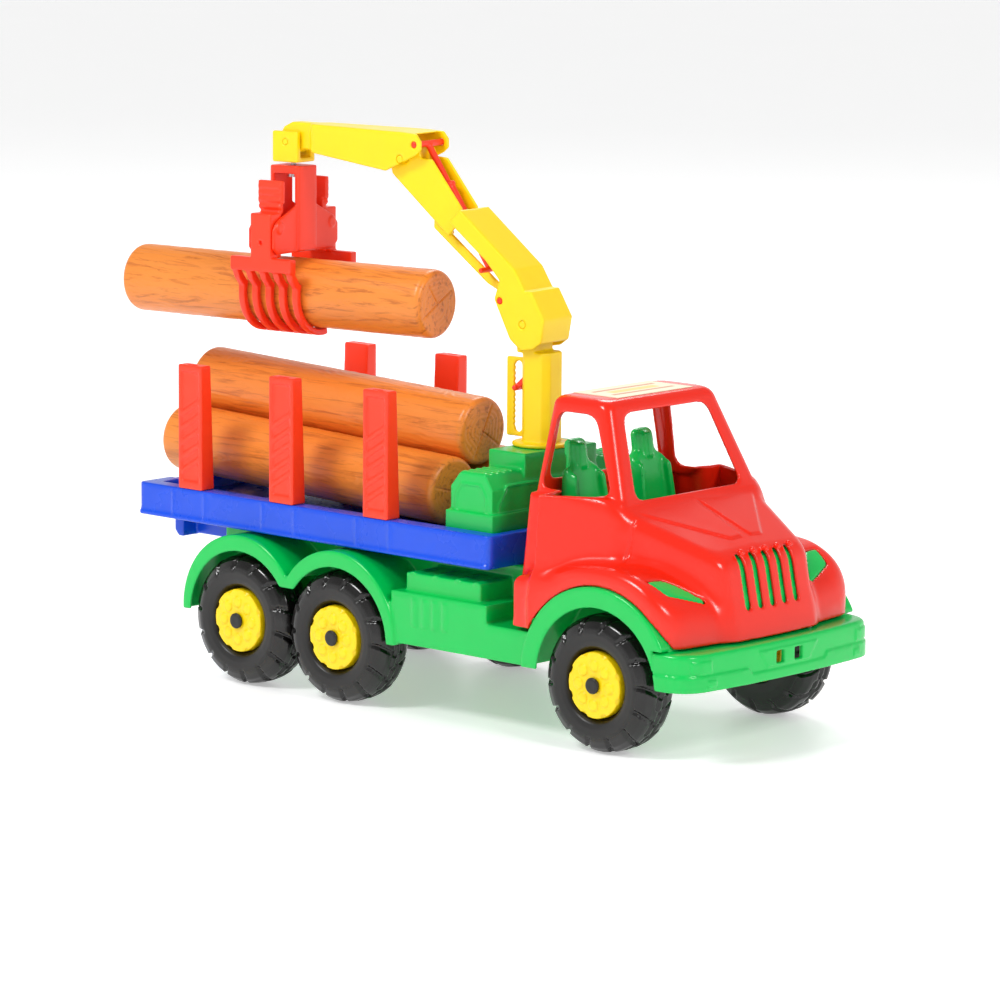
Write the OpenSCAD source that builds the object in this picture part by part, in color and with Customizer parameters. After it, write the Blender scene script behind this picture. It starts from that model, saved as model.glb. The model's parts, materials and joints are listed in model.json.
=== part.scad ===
// Toy timber lorry: a six-wheeled lorry with a loading crane, a grapple and a load of logs.
// Millimetres, +Z up, +X towards the bumper. The origin is under the middle of the whole toy.

/* [Lorry] */
// Distance from the front axle to the middle axle
front_wheelbase = 254.5; // [240:0.5:270]
// Distance between the two rear axles
rear_spacing = 99; // [99:0.5:101]
// Half of the width over the mudguards
half_width = 108; // [107:0.5:109]
// Height of the top of the chassis deck
deck_z = 116; // [115:0.5:117]
// Wall thickness of the moulded shells
wall = 2.5; // [2:0.1:3]

/* [Wheels] */
// Radius of a tyre
tyre_r = 49.3; // [48.5:0.1:49.3]
// Width of a tyre
tyre_w = 37; // [34:0.5:38]
// Radius of a wheel centre
hub_r = 24; // [22:0.5:26]
// Radius of an axle rod
axle_r = 2.5; // [2:0.1:3]
// Gap between an axle and a wheel's bore
axle_gap = 0.06; // [0.02:0.01:0.1]

/* [Load] */
// Radius of a log
log_r = 26; // [25:0.5:26]
// Length of a log
log_len = 285; // [270:1:290]
// Radius of the rounded edge at a log's ends
log_edge = 5; // [3:0.5:8]
// Height of the stakes above the bed
stake_h = 95; // [85:1:95]

/* [Crane] */
// Turn of the crane away from straight astern
slew = 6.4; // [0:0.1:8]
// Distance of the crane's axis behind the front axle
crane_x = 146.5; // [146:0.5:147]
// Height of the boom's pivot
boom_pivot_z = 283.5; // [283:0.5:284]
// Width of the boom's sheath
sheath_w = 37; // [36:0.5:38]
// Opening width left for a hinge pin
pin_gap = 0.06; // [0.02:0.01:0.1]

/* [Hidden] */
$fn = 64;
eps = 0.01;
axle_xs = [0, -front_wheelbase, -front_wheelbase - rear_spacing];
axle_z = tyre_r;
tyre_out = half_width + 1.5;
tyre_in = tyre_out - tyre_w;
hub_face = half_width + 0.8;
rail_y = 63;
arch_r = 60;
front_arch_r = 70;

bed_x = [-473, -111];
bed_y = 96.5;
bed_top = 140.6;
floor_z = 129.4;
rim_w = 14;
stake_xs = [-429.3, -333, -236.5];
stake_w = 25;

cab_back = -88;
cab_floor = 81.5;

log_tilt = 2.4;
log_y = 32;
log_z = 161.6;
top_log_z = log_z + sqrt(pow(2 * log_r + 0.4, 2) - pow(log_y, 2)) / cos(log_tilt);

boom_pivot = [5.7, boom_pivot_z];
jib_pivot = [118, 398];
strut_foot = [20.5, 234.5];
strut_head = [26.2, 299.5];
jib_strut_head = [105, 409.3];
jib_strut_foot = [46, 320];
slot_ends = [[37, 313], [87, 351.6]];
knuckle_x = 231;
knuckle_z = 404;
grip_z = 290;
jaw_pivot = [32, 341];
grip_log_x = 237.5;

// Lengthwise extent of the whole toy, which puts the origin under its middle
rear_end = -crane_x - (grip_log_x + log_len / 2 - log_edge) * cos(slew)
    - (log_r - log_edge) * sin(slew) - log_edge;
front_end = 90;
centre_x = (rear_end + front_end) / 2;

red = "#F4391F";
orange_red = "#FF4A24";
green = "#00C95C";
blue = "#0A50D8";
yellow = "#FFDE00";
steel = "#B8BCC0";
black = "#151515";
timber = "#DE7E26";
cream = "#F2ECCB";

// ---------- placing ----------

// The lorry's own frame: x is measured from the front axle
module lorry() translate([-centre_x, 0, 0]) children();

// The crane's frame: x runs from the slewing axis along the boom, z from the ground
module crane() lorry() translate([-crane_x, 0, 0]) rotate(180 + slew) children();

module both_sides() {
    children();
    mirror([0, 1, 0]) children();
}

// Extrudes an outline drawn in x and z across the width from y0 to y1
module across(y0, y1) translate([0, y1, 0]) rotate([90, 0, 0]) linear_extrude(y1 - y0) children();

// A round bar across the toy at [x, z]
module bar(at, r, y0, y1) across(y0, y1) translate(at) circle(r);

// A box from one corner to the other
module box(a, b) translate(a) cube(b - a);

// A block whose bottom and top are rectangles [x0, x1, half width, z]
module taper_block(b, t) {
    pts = [for (e = [b, t]) each [[e[0], -e[2], e[3]], [e[1], -e[2], e[3]], [e[1], e[2], e[3]], [e[0], e[2], e[3]]]];
    polyhedron(pts, [[0, 1, 2, 3], [7, 6, 5, 4], [4, 5, 1, 0], [5, 6, 2, 1], [6, 7, 3, 2], [7, 4, 0, 3]]);
}

// A straight slot between two points, as an outline
module slot_shape(a, b, r) {
    d = b - a;
    translate(a) {
        circle(r);
        rotate(atan2(d[1], d[0])) translate([0, -r]) square([norm(d), 2 * r]);
    }
    translate(b) circle(r);
}

// A row of round teeth cut along one edge of a slot
module slot_teeth(a, b, r, side, pitch = 4) {
    d = b - a;
    for (s = [pitch / 2:pitch:norm(d)])
        translate(a) rotate(atan2(d[1], d[0])) translate([s, side * r]) circle(1.1, $fn = 16);
}

// ---------- chassis ----------

module arch_outline(r, z) {
    for (x = [axle_xs[1], axle_xs[2]]) translate([x, z]) circle(r);
}

module rear_guard_void() {
    arch_outline(52, 49.5);
    translate([axle_xs[2], 0]) square([rear_spacing, 80]);
}

module rear_guard(r) difference() {
    union() {
        arch_outline(r, 54);
        translate([axle_xs[2], 40]) square([rear_spacing, 49]);
    }
    rear_guard_void();
    translate([axle_xs[2] - 90, -30]) square([rear_spacing + 180, 81]);
}

module rear_guards() both_sides() {
    across(half_width - wall, half_width) rear_guard(arch_r);
    across(rail_y, half_width - wall) difference() {
        rear_guard(arch_r);
        arch_outline(arch_r - wall, 54);
        translate([axle_xs[2], 40]) square([rear_spacing, 49 - wall]);
    }
}

module front_guards() both_sides() difference() {
    across(rail_y, half_width + 1) translate([0, axle_z]) circle(front_arch_r);
    across(rail_y - 1, half_width + 1 - wall) translate([0, axle_z]) circle(front_arch_r - wall);
    across(rail_y - 1, half_width + 2) translate([0, axle_z]) circle(55);
    box([-80, 0, -30], [80, 130, 53]);
}

// Side boards between the mudguards, with the step for the tool boxes
module side_boards() both_sides() difference() {
    union() {
        box([-200, rail_y, 53], [-106, 105, 92]);
        box([-106, rail_y, 53], [-62, 105, 78.5]);
        box([-191, rail_y, 90], [-118, 98, 105.5]);
        for (x = [-186, -164, -142, -124]) box([x, 70, 104], [x + 3, 98.8, 106.5]);
        for (i = [0:3]) box([-178 + 10 * i, 104, 68], [-174 + 10 * i, 106, 88]);
    }
    box([-197.5, rail_y - 1, 50], [-108.5, 102.5, 89.5]);
    box([-108.6, rail_y - 1, 50], [-60, 102.5, 76]);
    across(60, 120) translate([0, axle_z]) circle(front_arch_r - 1);
    across(60, 120) translate([axle_xs[1], 54]) circle(arch_r - 1);
}

// Wrap-round bumper: a hollow block with two square tow-rope holes
module bumper() difference() {
    union() {
        bumper_block([[56, 60], [56, 109], [66, 109], [84, 98], [90, 84]], 53, 62);
        bumper_block([[56, 60], [56, 109], [66, 109], [82, 98], [88, 84]], 62 - eps, 80);
        for (s = [-1, 1]) box([80, s * 87 - 7, 66], [88.6, s * 87 + 7, 74]);
        box([86, -33, 63], [90, 33, 75]);
    }
    bumper_block([[50, 50], [50, 106.5], [64.5, 106.5], [81, 96], [85.5, 82]], 40, 77.5);
    for (y = [-10.3, 10.3]) translate([80, y - 4.5, 64]) cube([12, 9, 9]);
    across(-120, 120) translate([0, axle_z]) circle(55);
}

module bumper_block(half, z0, z1) translate([0, 0, z0]) linear_extrude(z1 - z0) {
    polygon(concat(half, [for (i = [len(half) - 1:-1:0]) [half[i][0], -half[i][1]]]));
}

// Ladder frame: a deck plate with two deep side walls that carry the axles
module ladder_frame() difference() {
    union() {
        box([-412, -rail_y, deck_z - wall], [42, rail_y, deck_z]);
        for (s = [-1, 1]) across(s * (rail_y - wall / 2) - wall / 2, s * (rail_y - wall / 2) + wall / 2) {
            polygon([[-412, 62], [60, 62], [56, 92], [42, deck_z - eps], [-412, deck_z - eps]]);
            for (x = axle_xs) translate([x, axle_z]) {
                circle(9);
                translate([-9, 0]) square([18, 30]);
            }
        }
        for (x = [-412, -304, -178, -60, 39.5]) box([x, -rail_y, 66], [x + wall, rail_y, deck_z - eps]);
        box([57, -rail_y, 62], [84, -rail_y + wall, 80]);
        box([57, rail_y - wall, 62], [84, rail_y, 80]);
    }
    for (x = axle_xs) bar([x, axle_z], axle_r, -rail_y - 1, rail_y + 1);
    for (p = concat(bed_screw_spots, cab_screw_spots)) translate([p[0], p[1], 0]) cylinder(r = 1.6, h = 200);
}

bed_screw_spots = [for (x = [-390, -230], y = [-45, 45]) [x, y]];
cab_screw_spots = [for (x = [-82, 36], y = [-50, 50]) [x, y]];
base_screw_spots = [for (x = [-154, -136], y = [-70, 70]) [x, y]];

module chassis() color(green) lorry() {
    ladder_frame();
    rear_guards();
    front_guards();
    side_boards();
    bumper();
}

// ---------- cab ----------

// Outer form of the cab, shrunk by t on every side
module cab_form(t) {
    taper_block([cab_back + t, 70 - t, 93 - t, cab_floor + t - 0.2], [cab_back + t, 62 - t, 91 - t, 108]);
    taper_block([cab_back + t, 62 - t, 91 - t, 108 - eps], [cab_back + t, 38 - t, 86 - t, 130]);
    taper_block([cab_back + t, 38 - t, 86 - t, 130 - eps], [cab_back + t, -6 - t, 80 - t, 174 - t / 2]);
    taper_block([cab_back + t, -2 - t, 78 - t, 173 - t / 2], [cab_back + 2 + t, -31 - t, 60 - t, 243 - t]);
    taper_block([20, 73 - t, 47 - t, 100], [-6, 66 - t, 44 - t, 141 - t]);
    taper_block([-2, 66 - t, 44 - t, 140.8 - t], [-8, 2 - t, 70 - t, 173 - t]);
    both_sides() intersection() {
        taper_block([-81 + t, 70 - t, 107 - t, cab_floor + t - 0.2], [-70 + t, 52 - t, 104 - t, 131 - t]);
        across(60, 120) {
            translate([0, axle_z]) circle(81 - t);
            translate([-81 + t, cab_floor]) square([81, 35 - t]);
            translate([0, cab_floor]) square([70 - t, 30 - t]);
        }
    }
}

module wheel_wells() both_sides() across(rail_y - 0.2, 120) translate([0, axle_z]) circle(front_arch_r + 0.2);

module cab_windows() {
    across(-120, 120) polygon([[-79, 178], [-15, 178], [-39, 232], [-74, 232]]);
    translate([-60, 0, 0]) rotate([90, 0, 90]) linear_extrude(90)
        polygon([[-57, 177], [57, 177], [46, 233], [-46, 233]]);
    translate([-120, 0, 0]) rotate([90, 0, 90]) linear_extrude(50)
        polygon([[-62, 182], [62, 182], [50, 230], [-50, 230]]);
}

module grille_slots(w) for (i = [-2:2])
    box([40, 13.5 * i - w / 2, 102], [90, 13.5 * i + w / 2, 140]);

// Headlamps seen from above, as upright prisms with a gap round them
module lamp_prisms(gap) both_sides() translate([0, 0, 100]) linear_extrude(34) offset(gap)
    polygon([[35.5, 81], [36, 96], [53, 90], [56.5, 73], [62, 60], [60, 58.5]]);

// Posts inside the cab that its screws hold
module cab_posts() intersection() {
    cab_form(1);
    for (p = cab_screw_spots) translate([p[0], p[1], deck_z]) cylinder(r = 5, h = p[0] < 0 ? 34 : 50);
}

module cab_shell() color(red) lorry() difference() {
    union() {
        difference() {
            cab_form(0);
            cab_form(wall);
        }
        cab_posts();
    }
    box([cab_back + wall, -89.5, 70], [66, 89.5, 86]);
    box([cab_back - 1, -rail_y - 0.3, 70], [cab_back + 2 * wall, rail_y + 0.3, deck_z + 0.2]);
    for (p = cab_screw_spots) translate([p[0], p[1], 100]) cylinder(r = 1.5, h = 34);
    wheel_wells();
    cab_windows();
    grille_slots(4.4);
    lamp_prisms(0.1);
}

module seat(y) translate([0, y, 0]) {
    box([-66, -22, deck_z + wall], [-24, 22, 140]);
    taper_block([-78, -62, 22, deck_z + wall], [-88 + wall + 1, -76, 19, 192]);
    taper_block([-83.5, -75, 9, 191.5], [-82, -74, 8, 209]);
}

module seat_insert() color(green) lorry() difference() {
    union() {
        box([cab_back + wall + 0.2, -60, deck_z], [42, 60, deck_z + wall]);
        seat(-37);
        seat(37);
    }
    for (s = [-1, 1]) {
        box([-64, s * 37 - 20, deck_z - 1], [-26, s * 37 + 20, 137.5]);
        translate([0, s * 37, 0]) taper_block([-76, -64, 20, deck_z - 1], [-82, -78, 17, 186]);
    }
    for (p = cab_screw_spots) translate([p[0], p[1], 100]) cylinder(r = 5.2, h = 60);
}

// Backing plate behind the grille, with the two headlamps that fill the openings in the cab
module front_insert() color(green) lorry() difference() {
    intersection() {
        cab_form(0);
        union() {
            lamp_prisms(0);
            intersection() {
                cab_form(wall + eps);
                union() {
                    box([40, -34, 100.1], [80, 34, 142]);
                    box([41.4, -90, 106], [80, 90, 130]);
                }
            }
        }
    }
    cab_form(2 * wall);
    wheel_wells();
}

module roof_label() color(cream) lorry() box([-80, -42, 243], [-38, 42, 243.4]);

// ---------- bed and stakes ----------

module socket(x, y0, z0, gap) box([x + 4 - gap, y0 + 3 - gap, z0], [x + stake_w - 4 + gap, y0 + 10 + gap, bed_top + 1]);

// A slab of the bed's length with rounded upright corners
module bed_block(half, z0, z1) translate([0, 0, z0]) linear_extrude(z1 - z0) offset(5)
    translate([bed_x[0] + 5, 5 - half]) square([bed_x[1] - bed_x[0] - 10, 2 * half - 10]);

module load_bed() color(blue) lorry() difference() {
    union() {
        difference() {
            bed_block(bed_y, deck_z, bed_top);
            box([bed_x[0] + rim_w, -bed_y + rim_w, floor_z], [bed_x[1] - 8, bed_y - rim_w, bed_top + 1]);
            box([bed_x[0] + wall, -bed_y + wall, 100], [bed_x[1] - wall, bed_y - wall, floor_z - wall]);
            both_sides() box([bed_x[0] + wall, bed_y - rim_w + wall, 100], [bed_x[1] - wall, bed_y - wall, bed_top - wall]);
        }
        bed_block(98, deck_z, deck_z + 3);
        both_sides() for (x = [-434.6, -401.1, -339.4, -305.9, -242.2, -208.9])
            box([x - 1, bed_y - 1, deck_z], [x + 1, bed_y + 1, bed_top - 3]);
        for (p = bed_screw_spots) translate([p[0], p[1], deck_z]) cylinder(r = 5, h = floor_z - deck_z - 1);
    }
    box([bed_x[0] + wall, -bed_y + wall, 100], [bed_x[1] - wall, bed_y - wall, deck_z + 3 + eps]);
    both_sides() for (x = stake_xs) socket(x, -bed_y, bed_top - wall - 1, 0.1);
    box([bed_x[0] - 5, -62, 139.4], [bed_x[0] + rim_w + 1, 62, bed_top + 1]);
    for (p = bed_screw_spots) translate([p[0], p[1], 100]) cylinder(r = 1.5, h = 27);
    for (p = base_screw_spots) translate([p[0], p[1], 100]) cylinder(r = 1.6, h = 40);
}

// Bracket under the rear of the bed
module rear_bracket() color(blue) lorry() difference() {
    union() {
        box([-463, -46, 95.6], [-425, 46, floor_z - wall]);
        both_sides() across(44, 60) polygon([[-471, deck_z], [-471, 99], [-467, 94.6], [-461, 94.6], [-461, deck_z]]);
    }
    box([-460.5, -43.5, 98.1], [-427.5, 43.5, floor_z]);
}

// One stake with a ribbed panel on its outer face, standing in the right-hand rim
module stake(x) difference() {
    union() {
        translate([x, -bed_y, 0]) difference() {
            translate([0, 0, bed_top]) cube([stake_w, 14, stake_h]);
            translate([-1, 14, bed_top]) rotate([2.2, 0, 0]) cube([stake_w + 2, 20, stake_h + 10]);
        }
        socket(x, -bed_y, bed_top - 12, 0);
    }
    difference() {
        box([x + 3.2, -bed_y - 1, bed_top + 6], [x + stake_w - 3.2, -bed_y + 1.5, bed_top + stake_h - 5]);
        for (i = [0:4]) across(-bed_y - 2, -bed_y + 3) translate([x, bed_top + 9 + 11 * i])
            polygon([[0, 0], [stake_w, 15], [stake_w, 19], [0, 4]]);
    }
    box([x + 8, -bed_y + 2, bed_top + stake_h - 6], [x + 17, -bed_y + 4.5, bed_top + stake_h + 1]);
}

module stake_right(i) color(orange_red) lorry() stake(stake_xs[i]);
module stake_left(i) color(orange_red) lorry() mirror([0, 1, 0]) stake(stake_xs[i]);

module stake_right_rear() stake_right(0);
module stake_right_middle() stake_right(1);
module stake_right_front() stake_right(2);
module stake_left_rear() stake_left(0);
module stake_left_middle() stake_left(1);
module stake_left_front() stake_left(2);

// ---------- crane base ----------

module base_form(t) {
    box([-167 + t, -82.2 + t, floor_z], [-121 - t, 82.2 - t, 153 - t]);
    across(-79 + t, 79 - t) polygon([[-165 + t, floor_z], [-165 + t, 170], [-156 + t, 181 - t], [-131 - t, 181 - t],
        [-124 - t, 170], [-124 - t, floor_z]]);
    box([-163 + t, -40 + t, 170], [-127 - t, 40 - t, 193 - t]);
}

module crane_base() color(green) lorry() difference() {
    union() {
        difference() {
            base_form(0);
            base_form(wall);
            box([-167 + wall, -82.2 + wall, 120], [-121 - wall, 82.2 - wall, 140]);
        }
        both_sides() for (i = [0:4]) box([-155, 46 + 7 * i, 180.5], [-132, 49.5 + 7 * i, 182.3]);
        for (p = base_screw_spots) translate([p[0], p[1], floor_z]) cylinder(r = 4.5, h = 47);
    }
    translate([-crane_x, 0, 180]) cylinder(r = spigot_r + pin_gap, h = 20);
    for (p = base_screw_spots) translate([p[0], p[1], 100]) cylinder(r = 1.5, h = 48);
}

// ---------- axles and fasteners ----------

module axle(i) color(steel) lorry() bar([axle_xs[i], axle_z], axle_r, -half_width - 2.6, half_width + 2.6);

module front_axle() axle(0);
module middle_axle() axle(1);
module rear_axle() axle(2);

module axle_caps() color(black) lorry() both_sides() for (x = axle_xs) difference() {
    bar([x, axle_z], 6, hub_face + 0.3, half_width + 3.8);
    bar([x, axle_z], axle_r, 0, half_width + 2.6);
}

// A screw that stands on its head at z, its shank upwards
module screw(p, z, h) translate([p[0], p[1], z]) {
    cylinder(r = 3.5, h = 2);
    cylinder(r = 1.5, h = h);
}

module cab_screws() color(steel) lorry() for (p = cab_screw_spots) screw(p, deck_z - wall - 2, 22);
module bed_screws() color(steel) lorry() for (p = bed_screw_spots) screw(p, deck_z - wall - 2, 14);
module base_screws() color(steel) lorry() for (p = base_screw_spots) screw(p, floor_z - wall - 2, 18);

// ---------- wheels ----------

module spin(i, side) lorry() translate([axle_xs[i], 0, axle_z]) rotate([side * 90, 0, 0]) children();

// Half section of a tyre, t inside its outer skin; the hollow opens towards the wheel centre
module tyre_section(t) polygon([
    [hub_r - t, tyre_in + t], [hub_r + 12, tyre_in + t], [tyre_r - 7 - t / 2, tyre_in + 1 + t],
    [tyre_r - 1 - t, tyre_in + 6 + t / 2], [tyre_r - t, tyre_in + 11], [tyre_r - t, tyre_out - 11],
    [tyre_r - 1 - t, tyre_out - 6 - t / 2], [tyre_r - 7 - t / 2, tyre_out - 1 - t], [tyre_r - 13, tyre_out - t],
    [hub_r + 6, tyre_out - 1 - t], [hub_r + 2 + t / 2, tyre_out - 5 - t], [hub_r - t, tyre_out - 5 - t]]);

module tyre(i, side) color(black) spin(i, side) rotate_extrude() difference() {
    tyre_section(0);
    tyre_section(wall);
}

module hub(i, side) color(yellow) spin(i, side) difference() {
    union() {
        translate([0, 0, hub_face - 3]) cylinder(r = hub_r - 0.2, h = 3);
        translate([0, 0, tyre_in + 2]) difference() {
            cylinder(r = hub_r, h = hub_face - tyre_in - 6);
            translate([0, 0, -1]) cylinder(r = hub_r - 3, h = hub_face - tyre_in - 6);
        }
        translate([0, 0, tyre_in]) cylinder(r = 7, h = hub_face - tyre_in - 1);
        translate([0, 0, hub_face - 5]) cylinder(r = hub_r - 1, h = 3);
    }
    translate([0, 0, tyre_in - 1]) cylinder(r = axle_r + axle_gap, h = tyre_w + 10);
    for (k = [0:7]) rotate(45 * k + 22.5) translate([hub_r + 0.6, 0, hub_face - 1.6]) cylinder(r = 3, h = 4);
}

module tyre_front_left() tyre(0, -1);
module tyre_front_right() tyre(0, 1);
module tyre_middle_left() tyre(1, -1);
module tyre_middle_right() tyre(1, 1);
module tyre_rear_left() tyre(2, -1);
module tyre_rear_right() tyre(2, 1);
module hub_front_left() hub(0, -1);
module hub_front_right() hub(0, 1);
module hub_middle_left() hub(1, -1);
module hub_middle_right() hub(1, 1);
module hub_rear_left() hub(2, -1);
module hub_rear_right() hub(2, 1);

// ---------- crane column ----------

spigot_r = 10;
groove_r = 8.4;

module chamfered_square(w, c) polygon([
    for (q = [0:3]) each [for (s = [-1, 1])
        let (p = s < 0 ? [w / 2, w / 2 - c] : [w / 2 - c, w / 2]) [cos(90 * q) * p[0] - sin(90 * q) * p[1],
            sin(90 * q) * p[0] + cos(90 * q) * p[1]]]]);

module crane_column() color(yellow) crane() difference() {
    union() {
        translate([0, 0, 193.2]) cylinder(r = 21.7, h = 3);
        translate([0, 0, 180]) cylinder(r = spigot_r, h = 14);
        translate([0, 0, 196]) linear_extrude(67) chamfered_square(25, 5);
        bar(boom_pivot, 9, -12.5, 12.5);
        box([-1, -12.5, 262], [14.5, 12.5, boom_pivot_z]);
        difference() {
            box([12, -1.5, 198], [31, 1.5, 257]);
            across(-3, 3) {
                slot_shape([20.5, 204.5], [20.5, 251], 3.2);
                slot_teeth([20.5, 204.5], [20.5, 251], 3.2, -1);
            }
        }
    }
    translate([0, 0, 199]) linear_extrude(57) square([17, 17], center = true);
    box([5, -5.6, 234], [13, 5.6, 270]);
    box([9.5, -5.6, 256], [16, 5.6, 296]);
    bar(boom_pivot, 3 + pin_gap, -13, 13);
    translate([0, 0, 184]) difference() {
        cylinder(r = 20, h = 3.2);
        cylinder(r = groove_r, h = 3.2);
    }
}

// Clip ring in the column's groove, under the base's top plate
module column_ring() color(steel) crane() translate([0, 0, 184.2]) difference() {
    cylinder(r = spigot_r + 3, h = 2.8);
    translate([0, 0, -1]) cylinder(r = groove_r, h = 5);
}

// ---------- boom ----------

sheath_outline = [[72, 354], [62.5, 364], [13, 323.7], [3.5, 308.3], [-2, 308.5], [-14, 288], [-11, 271],
    [-4, 266], [7, 264], [16.8, 272], [31, 300.5], [26.5, 314.5], [39, 328]];
sheath_hollow = [[92, 356.5], [70, 370], [64.1, 362.1], [14.4, 321.6], [5.3, 305.6], [-0.5, 305.8], [-11.2, 287.6],
    [-8.4, 272], [-12, 255], [20, 255], [18, 280], [28, 300.5], [23.5, 313.5], [26, 320], [45, 306], [92, 346]];
arm_outline = [[76, 341], [130, 386.2], [131.5, 392], [125, 408], [99.5, 406], [66, 364]];
arm_hollow = [[72, 342.5], [120, 383.5], [110, 395], [109, 412], [90, 412], [50, 362]];

module boom() color(yellow) crane() difference() {
    union() {
        difference() {
            across(-sheath_w / 2, sheath_w / 2) polygon(sheath_outline);
            across(-sheath_w / 2 + wall, sheath_w / 2 - wall) polygon(sheath_hollow);
        }
        difference() {
            across(-11, 11) polygon(arm_outline);
            across(-8.5, 8.5) polygon(arm_hollow);
            across(-20, 20) polygon([[60, 320], [78, 342.8], [60, 364], [40, 350]]);
            across(-20, 20) polygon([[90, 398.6], [103.6, 399.4], [105.6, 404.8], [109.8, 410.4], [109, 416], [90, 416]]);
        }
        across(-1.5, 1.5) polygon([[98.5, 347], [49.1, 309.1], [31, 300.8], [27, 306], [24.6, 313.4], [34, 318],
            [82, 355.6], [98, 362]]);
        both_sides() across(5.6, 17) polygon([[73, 354.5], [63, 364], [61, 361.8], [71, 352.2]]);
    }
    bar(boom_pivot, 3, -30, 30);
    bar(strut_head, 2.5 + pin_gap, -30, 30);
    bar(jib_pivot, 3, -30, 30);
    across(-5, 5) {
        slot_shape(slot_ends[0], slot_ends[1], 3.3);
        slot_teeth(slot_ends[0], slot_ends[1], 3.3, 1);
    }
    across(-5.2, 5.2) polygon([[22, 300], [27, 303.5], [34, 301], [22, 258], [8, 258], [14, 280]]);
}

module boom_pin() color(yellow) crane() bar(boom_pivot, 3, -sheath_w / 2, sheath_w / 2);

// Ratchet strut of the boom: a cross bar in the boom and two legs down to the pin in the column's slot
module boom_strut() color(orange_red) crane() {
    bar(strut_head, 2.5, -sheath_w / 2, sheath_w / 2);
    bar(strut_foot, 2.2, -7, 7);
    both_sides() across(2.4, 4.6) polygon([[28.3, 298.8], [17.1, 267.3], [14.2, 257.6], [13.7, 243.9], [22, 236.1],
        [19, 232.9], [9.3, 242.1], [9.8, 258.4], [12.9, 268.7], [24.1, 300.2]]);
}

// ---------- jib ----------

jib_side = [[228, 419], [117, 418.3], [103, 417.5], [98.5, 412], [98.5, 405.5], [103, 401.5], [131, 388.5],
    [204, 397], [216, 399], [226, 395], [238, 399], [240, 408], [236, 415]];
jib_side_hollow = [[208, 415.5], [117, 415.5], [112, 415.4], [90, 420], [90, 380], [131, 380], [214, 380]];
jib_plan = [[98, 18.5], [132, 18.5], [205, 12], [210, 6], [245, 6]];
jib_plan_hollow = [[90, 15.8], [132, 15.8], [203, 9.4]];

function mirrored(p) = concat(p, [for (i = [len(p) - 1:-1:0]) [p[i][0], -p[i][1]]]);

module jib() color(yellow) crane() difference() {
    intersection() {
        across(-20, 20) polygon(jib_side);
        translate([0, 0, 370]) linear_extrude(60) polygon(mirrored(jib_plan));
    }
    intersection() {
        across(-20, 20) polygon(jib_side_hollow);
        translate([0, 0, 370]) linear_extrude(60) polygon(mirrored(jib_plan_hollow));
    }
    bar(jib_pivot, 3 + pin_gap, -30, 30);
    bar(jib_strut_head, 2.5 + pin_gap, -30, 30);
    bar([knuckle_x, knuckle_z], 2.5 + pin_gap, -30, 30);
}

module jib_pin() color(yellow) crane() bar(jib_pivot, 3, -18.2, 18.2);

// Ratchet strut of the jib: a cross bar in the jib's tail, a rod with a collar, and a fork at the boom's slot
module jib_strut() color(orange_red) crane() {
    d = jib_strut_head - jib_strut_foot;
    bar(jib_strut_head, 2.5, -18.4, 18.4);
    bar(jib_strut_foot, 2, -5, 15);
    translate([jib_strut_foot[0], 0, jib_strut_foot[1]]) rotate([0, 90 - atan2(d[1], d[0]), 0]) {
        translate([0, 0, 64]) cylinder(r = 2.6, h = norm(d) - 64);
        translate([0, 0, 70]) cylinder(r = 5, h = 3);
        translate([0, 0, 36]) cylinder(r = 4, h = 36);
        both_sides() {
            box([-2, 2.4, 0], [2, 4.4, 40]);
            translate([0, 4.4, 0]) rotate([90, 0, 0]) cylinder(r = 2, h = 2);
        }
    }
}

// ---------- knuckle and grapple ----------

module knuckle() color(yellow) crane() difference() {
    box([219, -11, 388.5], [243, 11, 412]);
    box([218, -6.4, 392], [244, 6.4, 420]);
    bar([knuckle_x, knuckle_z], 2.5, -30, 30);
    translate([knuckle_x, 0, 380]) cylinder(r = 2 + pin_gap, h = 20);
}

module knuckle_pin() color(yellow) crane() bar([knuckle_x, knuckle_z], 2.5, -11, 11);

module grapple() crane() translate([knuckle_x, 0, 0]) children();

// Outline of a housing plate in y and z
housing_half = [[12, 386], [12, 357], [35, 346], [40, 340], [40, 326], [35, 321]];

module grapple_housing() color(orange_red) grapple() {
    for (x = [-12, 10]) translate([x, 0, 0]) rotate([90, 0, 90]) linear_extrude(2) difference() {
        polygon(mirrored_y(housing_half));
        for (s = [-1, 1]) translate([s * jaw_pivot[0], jaw_pivot[1]]) circle(2);
    }
    for (x = [-14, 12 - eps]) translate([x, 0, 0]) {
        box([0, -11, 322], [2 + eps, 11, 386]);
        for (s = [-1, 1]) translate([0.8 * (x < 0 ? 1 : 0), s * jaw_pivot[0], jaw_pivot[1]]) rotate([0, 90, 0])
            cylinder(r = 4, h = 1.2 + eps);
    }
    difference() {
        box([-12, -12, 380], [12, 12, 386]);
        translate([0, 0, 370]) cylinder(r = 2, h = 30);
    }
}

function mirrored_y(p) = concat(p, [for (i = [len(p) - 1:-1:0]) [-p[i][0], p[i][1]]]);

// Shouldered screw that the grapple turns on
module rotator_screw() color(steel) grapple() {
    translate([0, 0, 377]) cylinder(r = 4.5, h = 2.7);
    translate([0, 0, 378]) cylinder(r = 2, h = 14);
}

module jaw_pins() color(steel) grapple() for (s = [-1, 1])
    translate([-12, s * jaw_pivot[0], jaw_pivot[1]]) rotate([0, 90, 0]) cylinder(r = 2, h = 24);

// Torsion springs wound round the jaw pins
spring_r = 3.4;
wire_r = 0.5;
spring_turns = 4;
spring_steps = 12;
spring_sides = 6;

function coil_point(i, k) = let (a = 360 * i / spring_steps, b = 360 * k / spring_sides,
    r = spring_r + wire_r * cos(b)) [r * cos(a), r * sin(a), (i / spring_steps - spring_turns / 2) * 1.5 + wire_r * sin(b)];

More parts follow.
